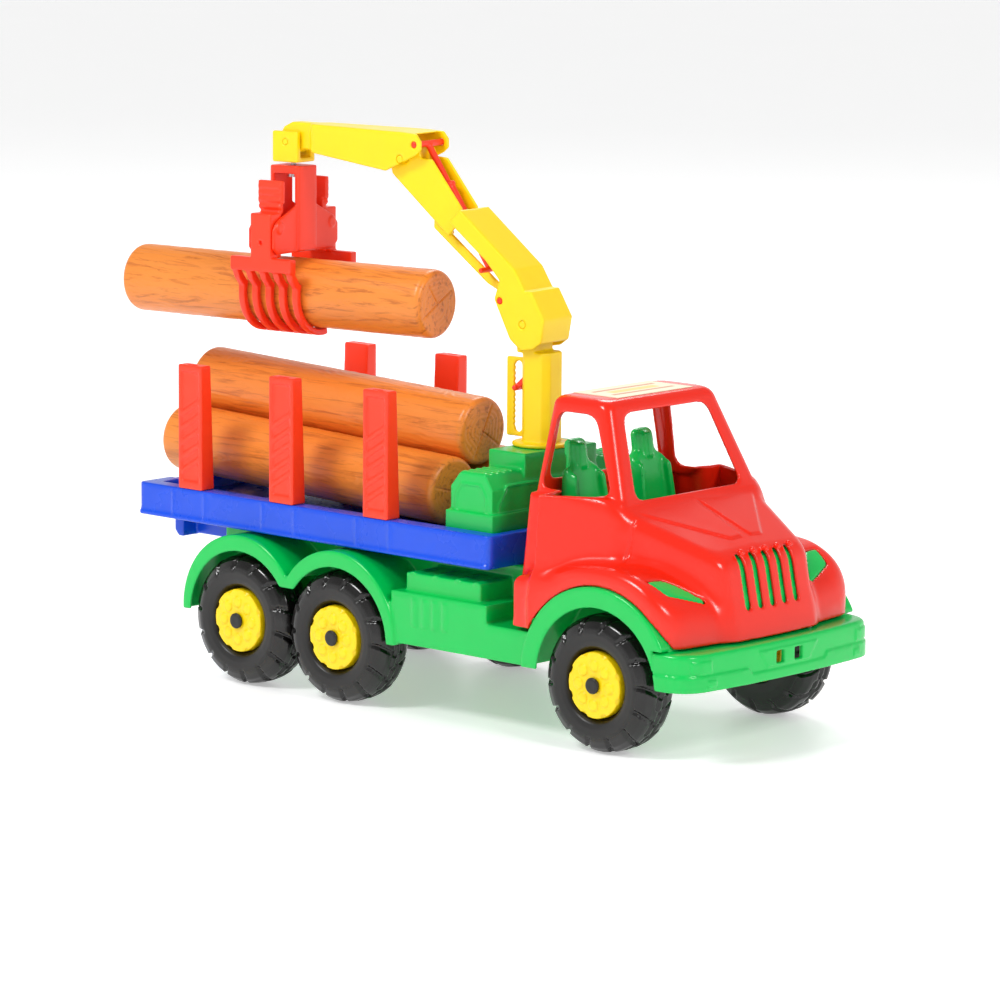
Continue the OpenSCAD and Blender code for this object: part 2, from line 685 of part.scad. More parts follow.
module coil() {
    n = spring_turns * spring_steps;
    m = spring_sides;
    polyhedron(
        [for (i = [0:n], k = [0:m - 1]) coil_point(i, k)],
        concat([[for (k = [0:m - 1]) k]], [[for (k = [m - 1:-1:0]) n * m + k]],
            [for (i = [0:n - 1], k = [0:m - 1]) each [
                [i * m + k, (i + 1) * m + k, i * m + (k + 1) % m],
                [i * m + (k + 1) % m, (i + 1) * m + k, (i + 1) * m + (k + 1) % m]]]));
}

module jaw_springs() color(steel) grapple() for (s = [-1, 1])
    translate([0, s * jaw_pivot[0], jaw_pivot[1]]) rotate([0, 90, 0]) coil();

// One curved tine under the log, as an outline in y and z
module tine_outline(reach) intersection() {
    difference() {
        translate([0, grip_z]) circle(log_r + 5.8);
        translate([0, grip_z]) circle(log_r + 1);
    }
    polygon([[-60, grip_z + 18], [0, grip_z + 2], [reach, grip_z - 60], [-60, grip_z - 60]]);
}

// A jaw: arm on the pin, thumb grip above, comb bar and tines below; side = 1 is the jaw at +y of the crane
module jaw(side, tine_xs) color(orange_red) grapple() mirror([0, side > 0 ? 1 : 0, 0]) difference() {
    union() {
        box([-9.5, -41, 318], [9.5, -27, 352]);
        box([-9.3, -29, 351], [9.3, -24, 361]);
        box([-11.5, -29, 359], [11.5, -25, 376]);
        for (i = [0:3]) bar_x([-28.2, 356.5 + 5 * i], 1.9, 10.5);
        box([-29, -41, 308], [29, -34, 318.5]);
        for (x = tine_xs) translate([x - 2.8, 0, 0]) rotate([90, 0, 90]) linear_extrude(5.6) union() {
            tine_outline(12);
            polygon([[-40, 309], [-35, 309], [-26, 297], [-30, 294], [-37, 302]]);
        }
    }
    translate([-20, -jaw_pivot[0], jaw_pivot[1]]) rotate([0, 90, 0]) cylinder(r = 2 + pin_gap, h = 40);
    box([-5.2, -37, 336], [5.2, -20, 346]);
    translate([0, -38, 330]) rotate([90, 0, 0]) cylinder(r = 1.6, h = 8);
}

// A round bar along x at [y, z]
module bar_x(at, r, half) translate([-half, at[0], at[1]]) rotate([0, 90, 0]) cylinder(r = r, h = 2 * half);

module jaw_right() jaw(1, [-25.6, -12.8, 0, 12.8, 25.6]);
module jaw_left() jaw(-1, [-19.2, -6.4, 6.4, 19.2]);

// ---------- logs ----------

// Hollow log along x, centred on the origin, with a row of small vent holes underneath
module log() difference() {
    rotate([0, 90, 0]) rotate_extrude() log_profile(log_r, log_len / 2, log_edge);
    rotate([0, 90, 0]) rotate_extrude() log_profile(log_r - 2, log_len / 2 - 2, 3);
    for (x = [-95, -62, -30, 40, 72, 105]) translate([x, 0, 0]) rotate([205, 0, 0]) cylinder(r = 1.3, h = 40);
}

module log_profile(r, half, edge) {
    translate([0, -half]) square([r - edge, 2 * half]);
    translate([0, edge - half]) square([r, 2 * (half - edge)]);
    for (s = [-1, 1]) intersection() {
        translate([r - edge, s * (half - edge)]) circle(edge);
        translate([0, -half]) square([r, 2 * half]);
    }
}

module lower_log_right() color(timber) lorry() translate([-346.2, -log_y, log_z]) rotate([0, log_tilt, 0]) log();
module lower_log_left() color(timber) lorry() translate([-346.2, log_y, log_z]) rotate([0, log_tilt, 0]) log();
module top_log() color(timber) lorry() translate([-346.3, 0, top_log_z]) rotate([0, log_tilt, 0]) log();
module gripped_log() color(timber) crane() translate([grip_log_x, 0, grip_z]) log();

chassis();
cab_shell();
seat_insert();
front_insert();
roof_label();
load_bed();
rear_bracket();
stake_left_rear();
stake_left_middle();
stake_left_front();
stake_right_rear();
stake_right_middle();
stake_right_front();
crane_base();
front_axle();
middle_axle();
rear_axle();
axle_caps();
cab_screws();
bed_screws();
base_screws();
lower_log_left();
lower_log_right();
tyre_front_left();
tyre_front_right();
tyre_middle_left();
tyre_middle_right();
tyre_rear_left();
tyre_rear_right();
hub_front_left();
hub_front_right();
hub_middle_left();
hub_middle_right();
hub_rear_left();
hub_rear_right();
crane_column();
column_ring();
boom();
boom_pin();
boom_strut();
jib();
jib_pin();
jib_strut();
knuckle();
knuckle_pin();
grapple_housing();
rotator_screw();
jaw_pins();
jaw_springs();
jaw_right();
jaw_left();
gripped_log();
top_log();
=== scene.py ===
"""Looks of a toy timber lorry with a loading crane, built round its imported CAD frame.

Lengths are millimetres in the lorry's own frame (x from the front axle) or in the crane's frame
(x from the slewing axis along the boom), and become metres when a mesh is made."""
import json
import math

import bpy
import numpy as np
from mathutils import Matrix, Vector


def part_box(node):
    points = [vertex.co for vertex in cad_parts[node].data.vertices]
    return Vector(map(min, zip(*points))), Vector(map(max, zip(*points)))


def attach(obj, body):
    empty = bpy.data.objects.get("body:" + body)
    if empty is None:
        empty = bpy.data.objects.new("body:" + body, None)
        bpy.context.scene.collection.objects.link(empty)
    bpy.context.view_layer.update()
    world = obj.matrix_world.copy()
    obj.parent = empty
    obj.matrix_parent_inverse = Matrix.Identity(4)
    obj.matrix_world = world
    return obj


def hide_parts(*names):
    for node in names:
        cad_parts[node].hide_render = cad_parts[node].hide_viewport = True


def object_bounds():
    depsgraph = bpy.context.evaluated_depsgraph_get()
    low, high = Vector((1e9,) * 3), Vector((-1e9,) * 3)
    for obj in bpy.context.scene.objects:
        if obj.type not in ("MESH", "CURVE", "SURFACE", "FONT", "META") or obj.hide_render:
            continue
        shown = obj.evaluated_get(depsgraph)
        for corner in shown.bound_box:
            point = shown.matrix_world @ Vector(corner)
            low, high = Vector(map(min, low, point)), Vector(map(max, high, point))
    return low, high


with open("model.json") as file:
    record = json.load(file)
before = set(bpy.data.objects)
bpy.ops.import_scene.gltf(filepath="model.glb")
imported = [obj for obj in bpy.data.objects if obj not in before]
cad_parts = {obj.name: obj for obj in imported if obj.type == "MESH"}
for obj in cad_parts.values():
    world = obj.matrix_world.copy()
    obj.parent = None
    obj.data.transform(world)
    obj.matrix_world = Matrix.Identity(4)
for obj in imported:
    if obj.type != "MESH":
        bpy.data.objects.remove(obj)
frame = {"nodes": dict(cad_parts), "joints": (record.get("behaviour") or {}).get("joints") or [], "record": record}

import openvdb
from mathutils import Matrix, Vector

cad_low, cad_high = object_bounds()
joints = {joint["name"]: joint for joint in frame["joints"]}

# ---------- the two frames ----------

MM = 0.001


def middle(node_name):
    low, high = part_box(node_name)
    return (low + high) / 2


def box_mm(node_name, space):
    """Lowest and highest corner of a CAD node in one of the two frames, in millimetres."""
    points = node_points(node_name, space)
    return points.min(0), points.max(0)


def node_points(node_name, space):
    mesh = frame["nodes"][node_name].data
    points = np.zeros(len(mesh.vertices) * 3, np.float32)
    mesh.vertices.foreach_get("co", points)
    back = np.array(space.inverted(), np.float64)
    return points.reshape(-1, 3) @ back[:3, :3].T + back[:3, 3]


slew_at = Vector(joints["crane_slew"]["pos_m"])
boom_way = Vector(joints["jaws_open"]["axis"])
LORRY = Matrix.Translation((middle("front_axle").x, 0, 0)) @ Matrix.Scale(MM, 4)
CRANE = (Matrix.Translation((slew_at.x, slew_at.y, 0))
         @ Matrix.Rotation(math.atan2(boom_way.y, boom_way.x), 4, "Z") @ Matrix.Scale(MM, 4))

AXLE_Z = middle("front_axle").z / MM
COARSER = 1.0

# ---------- moulding: distance fields in millimetres, negative inside ----------


def melt(a, b, k):
    """Joins two fields with a fillet about k wide."""
    if k <= 0:
        return np.minimum(a, b)
    h = np.clip(0.5 + 0.5 * (b - a) / k, 0, 1)
    return b + (a - b) * h - k * h * (1 - h)


def meet(a, b, k=0.0):
    """Keeps what two fields share, with its edges rounded about k wide."""
    return -melt(-a, -b, k)


def take(a, b, k=0.0):
    """Cuts field b out of field a."""
    return meet(a, -b, k)


def rise(t):
    """A smooth step from 0 to 1."""
    t = np.clip(t, 0, 1)
    return t * t * (3 - 2 * t)


class Mould:
    """A grid of points round a piece, on which its distance field is made."""

    def __init__(self, space, low, high, step):
        self.space = space
        self.step = step * COARSER
        self.start = np.array(low, np.float64) - 3 * self.step
        self.counts = np.ceil((np.array(high) - self.start) / self.step).astype(int) + 4
        x, y, z = (self.start[i] + self.step * np.arange(self.counts[i]) for i in range(3))
        self.x = x.astype(np.float32).reshape(-1, 1, 1)
        self.y = y.astype(np.float32).reshape(1, -1, 1)
        self.z = z.astype(np.float32).reshape(1, 1, -1)

    def box(self, low, high, r=0.0):
        """A box with edges rounded to radius r."""
        parts = []
        for axis, a, b in zip((self.x, self.y, self.z), low, high):
            parts.append(np.abs(axis - (a + b) / 2) - abs(b - a) / 2 + r)
        inside = np.minimum(np.maximum(np.maximum(parts[0], parts[1]), parts[2]), 0)
        outside = np.sqrt(sum(np.maximum(p, 0) ** 2 for p in parts))
        return inside + outside - r

    def rod(self, axis, at, r, low=-1e3, high=1e3, k=0.0):
        """A round bar along an axis through the point at, given by the other two coordinates."""
        along = (self.x, self.y, self.z)[axis]
        u, v = [c for i, c in enumerate((self.x, self.y, self.z)) if i != axis]
        round_part = np.sqrt((u - at[0]) ** 2 + (v - at[1]) ** 2) - r
        return meet(round_part, np.maximum(low - along, along - high), k)

    def bead(self, a, b, r):
        """A bar with round ends between two points."""
        a, b = np.array(a, np.float32), np.array(b, np.float32)
        way = b - a
        t = ((self.x - a[0]) * way[0] + (self.y - a[1]) * way[1] + (self.z - a[2]) * way[2]) / (way @ way)
        t = np.clip(t, 0, 1)
        gaps = (c - p - t * w for c, p, w in zip((self.x, self.y, self.z), a, way))
        return np.sqrt(sum(g * g for g in gaps)) - r

    def plane(self, point, normal):
        """Everything behind a flat face."""
        n = np.array(normal, np.float32) / np.linalg.norm(normal)
        return (self.x - point[0]) * n[0] + (self.y - point[1]) * n[1] + (self.z - point[2]) * n[2]

    def sheet(self, axis, corners, k=0.0):
        """A convex outline, run right through along an axis, its corners rounded about k wide."""
        u, v = [c for i, c in enumerate((self.x, self.y, self.z)) if i != axis]
        middle_u = sum(c[0] for c in corners) / len(corners)
        middle_v = sum(c[1] for c in corners) / len(corners)
        field = None
        for (u0, v0), (u1, v1) in zip(corners, corners[1:] + corners[:1]):
            n = np.array([v1 - v0, u0 - u1]) / math.hypot(u1 - u0, v1 - v0)
            if n @ (middle_u - u0, middle_v - v0) > 0:
                n = -n
            side = (u - u0) * n[0] + (v - v0) * n[1]
            field = side if field is None else meet(field, side, k)
        return field

    def node(self, name, soften=1):
        """A CAD node's own field, its edges rounded by as many smoothing passes as soften says."""
        mesh = frame["nodes"][name].data
        mesh.calc_loop_triangles()
        corners = np.zeros(len(mesh.loop_triangles) * 3, np.int32)
        mesh.loop_triangles.foreach_get("vertices", corners)
        points = (node_points(name, self.space) - self.start) / self.step
        unit = openvdb.createLinearTransform(voxelSize=1.0)
        level = openvdb.FloatGrid.createLevelSetFromPolygons(
            points.astype(np.float32), triangles=corners.reshape(-1, 3).astype(np.uint32),
            transform=unit, halfWidth=4.0)
        field = np.full(tuple(self.counts), 4.0, np.float32)
        level.copyToArray(field, ijk=(0, 0, 0))
        for _ in range(soften):
            for axis in range(3):
                ahead, behind = np.roll(field, 1, axis), np.roll(field, -1, axis)
                field = 0.5 * field + 0.25 * (ahead + behind)
        return field * self.step

    def cast(self, name, field, material, nodes, body):
        """Makes the mesh of a field and puts it in place of its CAD nodes."""
        grid = openvdb.FloatGrid(4.0)
        field = np.ascontiguousarray(np.broadcast_to(field, tuple(self.counts)) / self.step, np.float32)
        grid.copyFromArray(np.clip(field, -4, 4))
        points, triangles, quads = grid.convertToPolygons(isovalue=0.0, adaptivity=0.015)
        points = points.astype(np.float64) * self.step + self.start
        faces = [face[::-1] for face in quads.tolist()] + [face[::-1] for face in triangles.tolist()]
        return place(name, points, faces, self.space, material, nodes, body)


def place(name, points, faces, space, material, nodes, body):
    """A mesh piece from points in millimetres, riding on a body in place of its CAD nodes."""
    matrix = np.array(space, np.float64)
    mesh = bpy.data.meshes.new(name)
    mesh.from_pydata((np.asarray(points) @ matrix[:3, :3].T + matrix[:3, 3]).tolist(), [], faces)
    mesh.validate()
    for one in material if isinstance(material, list) else [material]:
        mesh.materials.append(one)
    mesh.shade_smooth()
    piece = bpy.data.objects.new(name, mesh)
    bpy.context.scene.collection.objects.link(piece)
    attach(piece, body)
    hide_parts(*nodes)
    return piece


body_of_node = {n: b for b, members in frame["record"]["behaviour"]["bodies"].items() for n in members}


def remould(name, material, space=LORRY, step=0.8, soften=1, change=None):
    """A CAD node as it comes out of the tool: the same shape with softened edges and its small details."""
    low, high = box_mm(name, space)
    mould = Mould(space, low - 1, high + 1, step)
    field = mould.node(name, soften)
    if change:
        field = change(mould, field)
    return mould.cast(name + "_moulded", field, material, [name], body_of_node[name])


# ---------- materials ----------


def linear(code):
    """An sRGB hex colour as linear RGBA."""
    values = [int(code[i:i + 2], 16) / 255 for i in (1, 3, 5)]
    return tuple(v / 12.92 if v <= 0.04045 else ((v + 0.055) / 1.055) ** 2.4 for v in values) + (1.0,)


def add_node(material, kind, settings=None, links=None):
    """Adds a node with its settings, and links from (node, output) to its inputs."""
    tree = material.node_tree
    node = tree.nodes.new(kind)
    for key, value in (settings or {}).items():
        if hasattr(node, key):
            setattr(node, key, value)
        else:
            node.inputs[key].default_value = value
    for key, (source, output) in (links or {}).items():
        tree.links.new(source.outputs[output], node.inputs[key])
    return node


def new_material(name):
    material = bpy.data.materials.new(name)
    material.use_nodes = True
    material.node_tree.nodes.clear()
    return material


def finish_material(material, settings, links):
    shader = add_node(material, "ShaderNodeBsdfPrincipled", settings, links)
    add_node(material, "ShaderNodeOutputMaterial", None, {"Surface": (shader, "BSDF")})
    return material


def moulded_polypropylene(name, colour, shade, gloss):
    """Injection-moulded polypropylene: clear strong colour, a soft waxy gloss, faint flow marks
    about 30 mm long in the colour and a skin that ripples over a few millimetres."""
    material = new_material(name)
    where = add_node(material, "ShaderNodeTexCoord")
    flow = add_node(material, "ShaderNodeTexNoise", {"Scale": 1 / 0.030, "Detail": 3.0, "Roughness": 0.6},
                    {"Vector": (where, "Object")})
    tint = add_node(material, "ShaderNodeMix", {"data_type": "RGBA", "clamp_factor": True})
    tint.inputs[6].default_value = linear(colour)
    tint.inputs[7].default_value = linear(shade)
    material.node_tree.links.new(flow.outputs["Fac"], tint.inputs[0])
    ripple = add_node(material, "ShaderNodeTexNoise", {"Scale": 1 / 0.004, "Detail": 2.0},
                      {"Vector": (where, "Object")})
    sheen = add_node(material, "ShaderNodeMapRange",
                     {"From Min": 0.3, "From Max": 0.7, "To Min": gloss - 0.03, "To Max": gloss + 0.05},
                     {"Value": (flow, "Fac")})
    skin = add_node(material, "ShaderNodeBump", {"Strength": 0.06, "Distance": 0.0003},
                    {"Height": (ripple, "Fac")})
    return finish_material(material, {"IOR": 1.49, "Subsurface Weight": 0.04, "Subsurface Scale": 0.002},
                           {"Base Color": (tint, 2), "Roughness": (sheen, "Result"),
                            "Normal": (skin, "Normal")})


def blown_black_polyethylene(name, gloss):
    """Blow-moulded polyethylene, black: a bright wet-looking shine on the lugs, with soft dents
    some 12 mm wide where the blown skin cooled, and a duller sidewall."""
    material = new_material(name)
    where = add_node(material, "ShaderNodeTexCoord")
    dents = add_node(material, "ShaderNodeTexNoise", {"Scale": 1 / 0.012, "Detail": 1.0},
                     {"Vector": (where, "Object")})
    dust = add_node(material, "ShaderNodeTexNoise", {"Scale": 1 / 0.002, "Detail": 4.0},
                    {"Vector": (where, "Object")})
    sheen = add_node(material, "ShaderNodeMapRange", {"To Min": gloss, "To Max": gloss + 0.12},
                     {"Value": (dust, "Fac")})
    tint = add_node(material, "ShaderNodeMix", {"data_type": "RGBA"}, None)
    tint.inputs[6].default_value = linear("#0C0B0B")
    tint.inputs[7].default_value = linear("#12100F")
    material.node_tree.links.new(dust.outputs["Fac"], tint.inputs[0])
    skin = add_node(material, "ShaderNodeBump", {"Strength": 0.12, "Distance": 0.0006},
                    {"Height": (dents, "Fac")})
    return finish_material(material, {"IOR": 1.52},
                           {"Base Color": (tint, 2), "Roughness": (sheen, "Result"),
                            "Normal": (skin, "Normal")})


def blown_timber_polyethylene(name):
    """Blow-moulded polyethylene made to look like peeled logs: a warm orange skin with a satin gloss,
    and fine grain lines about 2 mm apart and 60 mm long, darker where they are cut in."""
    material = new_material(name)
    where = add_node(material, "ShaderNodeTexCoord")
    stretched = add_node(material, "ShaderNodeMapping", {"Scale": (1 / 0.060, 1 / 0.004, 1 / 0.004)},
                         {"Vector": (where, "Object")})
    grain = add_node(material, "ShaderNodeTexNoise",
                     {"Scale": 1.0, "Detail": 5.0, "Roughness": 0.65, "Distortion": 0.6},
                     {"Vector": (stretched, "Vector")})
    cloud = add_node(material, "ShaderNodeTexNoise", {"Scale": 1 / 0.070, "Detail": 2.0},
                     {"Vector": (where, "Object")})
    tint = add_node(material, "ShaderNodeValToRGB", None, {"Fac": (grain, "Fac")})
    tint.color_ramp.elements[0].position = 0.33
    tint.color_ramp.elements[0].color = linear("#C26C22")
    tint.color_ramp.elements[1].position = 0.48
    tint.color_ramp.elements[1].color = linear("#EC9138")
    washed = add_node(material, "ShaderNodeMix", {"data_type": "RGBA", "blend_type": "MULTIPLY"})
    washed.inputs[7].default_value = linear("#F6E0C4")
    material.node_tree.links.new(cloud.outputs["Fac"], washed.inputs[0])
    material.node_tree.links.new(tint.outputs["Color"], washed.inputs[6])
    sheen = add_node(material, "ShaderNodeMapRange", {"To Min": 0.42, "To Max": 0.30},
                     {"Value": (grain, "Fac")})
    skin = add_node(material, "ShaderNodeBump", {"Strength": 0.25, "Distance": 0.0004},
                    {"Height": (grain, "Fac")})
    return finish_material(material, {"IOR": 1.51},
                           {"Base Color": (washed, 2), "Roughness": (sheen, "Result"),
                            "Normal": (skin, "Normal")})


def printed_film(name):
    """Satin printed film stuck on the roof: a cream ground with plain frames and bands in red and
    yellow, and the slightly uneven ink of a cheap print."""
    material = new_material(name)
    where = add_node(material, "ShaderNodeTexCoord")
    ground, red_ink, yellow_ink = linear("#F3ECCB"), linear("#D98A5C"), linear("#F0D873")
    split = add_node(material, "ShaderNodeSeparateXYZ", None, {"Vector": (where, "Object")})
    centre = middle("roof_label")

    def within(axis, low, high):
        """1 where the distance from the label's middle line lies between two lengths in metres."""
        away = add_node(material, "ShaderNodeMath", {"operation": "SUBTRACT"}, {0: (split, axis)})
        away.inputs[1].default_value = getattr(centre, axis.lower())
        size = add_node(material, "ShaderNodeMath", {"operation": "ABSOLUTE"}, {0: (away, 0)})
        above = add_node(material, "ShaderNodeMath", {"operation": "GREATER_THAN"}, {0: (size, 0)})
        above.inputs[1].default_value = low
        below = add_node(material, "ShaderNodeMath", {"operation": "LESS_THAN"}, {0: (size, 0)})
        below.inputs[1].default_value = high
        return add_node(material, "ShaderNodeMath", {"operation": "MULTIPLY"},
                        {0: (above, 0), 1: (below, 0)})

    across_band, along_band = within("Y", 0.0, 0.034), within("X", 0.0075, 0.0115)
    bar = add_node(material, "ShaderNodeMath", {"operation": "MULTIPLY"},
                   {0: (across_band, 0), 1: (along_band, 0)})
    block = add_node(material, "ShaderNodeMath", {"operation": "MULTIPLY"},
                     {0: (within("Y", 0.0, 0.026), 0), 1: (within("X", 0.0, 0.0042), 0)})
    ink = add_node(material, "ShaderNodeTexNoise", {"Scale": 1 / 0.0015, "Detail": 2.0},
                   {"Vector": (where, "Object")})
    first = add_node(material, "ShaderNodeMix", {"data_type": "RGBA"})
    first.inputs[6].default_value, first.inputs[7].default_value = ground, red_ink
    material.node_tree.links.new(bar.outputs[0], first.inputs[0])
    second = add_node(material, "ShaderNodeMix", {"data_type": "RGBA"})
    second.inputs[7].default_value = yellow_ink
    material.node_tree.links.new(block.outputs[0], second.inputs[0])
    material.node_tree.links.new(first.outputs[2], second.inputs[6])
    sheen = add_node(material, "ShaderNodeMapRange", {"To Min": 0.30, "To Max": 0.42},
                     {"Value": (ink, "Fac")})
    return finish_material(material, {"IOR": 1.5},
                           {"Base Color": (second, 2), "Roughness": (sheen, "Result")})


def drawn_steel(name):
    """Bright drawn steel rod and wire: a clean metal shine, with fine draw lines about 0.4 mm apart."""
    material = new_material(name)
    where = add_node(material, "ShaderNodeTexCoord")
    lines = add_node(material, "ShaderNodeMapping", {"Scale": (1 / 0.0004, 1 / 0.02, 1 / 0.0004)},
                     {"Vector": (where, "Object")})
    draw = add_node(material, "ShaderNodeTexNoise", {"Scale": 1.0, "Detail": 2.0},
                    {"Vector": (lines, "Vector")})
    sheen = add_node(material, "ShaderNodeMapRange", {"To Min": 0.22, "To Max": 0.36},
                     {"Value": (draw, "Fac")})
    return finish_material(material, {"Base Color": linear("#BFC3C7"), "Metallic": 1.0},
                           {"Roughness": (sheen, "Result")})


red_polypropylene = moulded_polypropylene("red_gloss_moulded_polypropylene", "#F0260E", "#E8220C", 0.20)
orange_polypropylene = moulded_polypropylene("orange_satin_moulded_polypropylene", "#FF3A16", "#F73612",
                                             0.34)
green_polypropylene = moulded_polypropylene("green_gloss_moulded_polypropylene", "#00C755", "#00BE50", 0.22)
blue_polypropylene = moulded_polypropylene("blue_gloss_moulded_polypropylene", "#004FE0", "#0049D6", 0.26)
yellow_polypropylene = moulded_polypropylene("yellow_satin_moulded_polypropylene", "#FFDC00", "#FBD400",
                                             0.34)
tread_polyethylene = blown_black_polyethylene("black_gloss_blown_polyethylene", 0.12)
sidewall_polyethylene = blown_black_polyethylene("black_satin_blown_polyethylene", 0.34)
timber_polyethylene = blown_timber_polyethylene("timber_grain_blown_polyethylene")
label_film = printed_film("satin_printed_label_film")
steel = drawn_steel("bright_drawn_steel")

# ---------- cab ----------

WALL = 2.5
BELT_Z = 174
NOSE_TOP = (66, 141)
COWL = (-8, 173)
FENDER_R = 85.5


def cab_skin(m):
    """Outer form of the cab, open below."""
    wide = np.abs(m.y)
    lean = 12.5 / (BELT_Z - 81)
    body = meet(wide - (92.5 - lean * (m.z - 81)), np.maximum(-88 - m.x, m.z - BELT_Z), 4)
    body = meet(body, m.x - 8 + 0.3 * (m.z - 120), 12)
    drop = (COWL[1] - NOSE_TOP[1]) / (NOSE_TOP[0] - COWL[0])
    top = (m.z - COWL[1] + drop * (m.x - COWL[0]) + 0.045 * wide) * 0.91
    flank = (wide - (79 - 0.45 * (m.x - COWL[0]) - 0.08 * (m.z - COWL[1]))) * 0.91
    nose = m.plane((66, 0, 141), (41, 0, 8.5)) + 0.0007 * wide ** 2
    hood = meet(meet(meet(flank, nose, 7), top, 9), -60 - m.x)
    fender_round = np.sqrt(m.x ** 2 + (m.z - AXLE_Z) ** 2) - FENDER_R
    plan = meet(wide - 106.8, m.x - 74 + 0.0009 * wide ** 2, 22)
    plan = meet(plan, -81 - m.x, 3)
    fender = meet(plan, meet(fender_round, m.z - 134, 6), 9)
    rear_step = meet(meet(wide - 106.0, -80 - m.x, 3), np.maximum(m.z - 119, m.x), 9)
    return body, hood, melt(fender, rear_step, 4), top


def cab_form(m):
    body, hood, fender, top = cab_skin(m)
    form = melt(melt(body, hood, 16), fender, 9)
    wide = np.abs(m.y)
    slant = 18.0 / (243 - 173)
    upper = meet(wide - (77.8 - slant * (m.z - 173)), -86.6 - m.x + 0.03 * (m.z - 173), 9)
    upper = meet(upper, (m.x + 3.5 + 0.41 * (m.z - 173)) * 0.925, 9)
    upper = meet(upper, meet(m.z - 243, 150 - m.z), 7)
    form = melt(form, upper, 1.5)
    cowl_rib = meet(m.box((-10, -76, 168), (-4.5, 76, 174.5), 2), wide - 76)
    form = melt(form, cowl_rib, 2)
    panel_side = (wide - 17 - 1.02 * (48 - m.x)) * 0.7
    panel_gap = 0.08 * (m.x + 8) - wide
    panel = meet(meet(top - 1.4, panel_side, 1), np.maximum(m.x - 48, -10 - m.x), 1)
    panel = meet(meet(panel, panel_gap, 0.6), 120 - m.z)
    return melt(form, panel, 0.5)


def cab_openings(m):
    side = m.sheet(1, [(-80, 178), (-14, 178), (-41, 232), (-76, 232)], 9)
    front = m.sheet(0, [(-59, 174.5), (59, 174.5), (46, 233), (-46, 233)], 9)
    rear = m.sheet(0, [(-62, 182), (62, 182), (50, 230), (-50, 230)], 9)
    openings = np.minimum(side, np.maximum(front, -60 - m.x))
    return np.minimum(openings, np.maximum(rear, m.x + 70))


def lamp_outline(m):
    """The headlamps' swept teardrop, seen from above."""
    wide = np.abs(m.y)
    corners = [(36.5, 81), (35.5, 95.5), (52.5, 90), (57, 73), (61.5, 60), (59.5, 58)]
    field = None
    for (x0, w0), (x1, w1) in zip(corners, corners[1:] + corners[:1]):
        n = np.array([w1 - w0, x0 - x1]) / math.hypot(x1 - x0, w1 - w0)
        if n @ (50 - x0, 77 - w0) > 0:
            n = -n
        side = (m.x - x0) * n[0] + (wide - w0) * n[1]
        field = side if field is None else meet(field, side, 3)
    return meet(field, 100 - m.z)


def grille(m, r):
    slots = None
    for i in range(-2, 3):
        away = np.sqrt((m.y - 13.5 * i) ** 2 + np.maximum(np.maximum(104.5 - m.z, m.z - 137.5), 0) ** 2) - r
        slots = away if slots is None else np.minimum(slots, away)
    return np.maximum(slots, 50 - m.x)


def build_cab():
    m = Mould(LORRY, (-89, -108, 79), (77, 108, 245), 1.1)
    form = cab_form(m)
    below = 81.4 - m.z
    shell = meet(take(form, form + WALL), below, 1)
    lamps = lamp_outline(m)
    for i in range(-2, 3):
        knob = m.bead((64.5, 13.5 * i, 142.5), (66, 13.5 * i, 141.2), 2.2)
        shell = melt(shell, knob, 1.5)
    shell = take(shell, cab_openings(m), 1.5)
    shell = take(shell, grille(m, 2.7), 1.2)
    shell = take(shell, lamps - 0.3, 0.8)
    seam = np.maximum(np.abs(m.x - 5.5) - 0.7, np.maximum(-(form + 0.8), 135 - m.z))
    shell = take(shell, np.maximum(seam, 70 - np.abs(m.y)), 0.6)
    arch = np.sqrt(m.x ** 2 + (m.z - AXLE_Z) ** 2) - 70.4
    shell = take(shell, np.maximum(arch, 62.8 - np.abs(m.y)), 0.8)
    deck = m.box((-100, -63.4, 60), (-80, 63.4, 116.3))
    shell = take(shell, deck)
    posts = None
    for x, high in ((-82, 150), (36, 166)):
        for y in (-50, 50):
            post = m.rod(2, (x, y), 5, 116.2, high)
            posts = post if posts is None else np.minimum(posts, post)
    shell = np.minimum(shell, np.maximum(posts, form + 1))
    m.cast("cab_shell_moulded", shell, red_polypropylene, ["cab_shell"], "lorry")

    plate = np.maximum(m.box((46, -33, 99), (80, 33, 141)), form + 2.8)
    plate = take(plate, form + 5.0)
    lens = np.maximum(lamps + 0.15, form + 0.5)
    lens = take(lens, form + 3.5)
    tie = np.maximum(m.box((46, -88, 106), (80, 88, 112)), form + 2.8)
    tie = take(tie, form + 5.0)
    insert = melt(melt(plate, tie, 1), lens, 1)
    m.cast("grille_and_headlamps_moulded", insert, green_polypropylene, ["front_insert"], "lorry")


# ---------- seats ----------


def one_seat(m, y):
    away = np.abs(m.y - y)
    tilt = 0.16
    depth = m.x + 62 + tilt * (m.z - 118)
    back = meet(meet(np.abs(depth + 5.5) - 5.5, away - 21.5 + 0.06 * (m.z - 118), 5), m.z - 193, 9)
    bolster = np.abs(away - 18.5 + 0.06 * (m.z - 118)) - 2.2
    wings = meet(meet(np.abs(depth - 1) - 5, bolster, 2), m.z - 187, 6)
    head = meet(meet(np.abs(depth + 6) - 4, away - 10.5, 5), m.z - 209.5, 6)
    crest = meet(meet(np.abs(depth + 2.5) - 4, away - 4.5, 3), np.maximum(m.z - 207, 188 - m.z), 3)
    squab = meet(m.box((-68, y - 22, 100), (-24, y + 22, 140), 5), away - 22)
    dish = m.box((-60, y - 15, 137), (-28, y + 15, 150), 4)
    field = melt(melt(melt(back, wings, 4), head, 3), crest, 2)
    field = melt(field, take(squab, dish, 3), 4)
    return np.maximum(field, 116 - m.z)


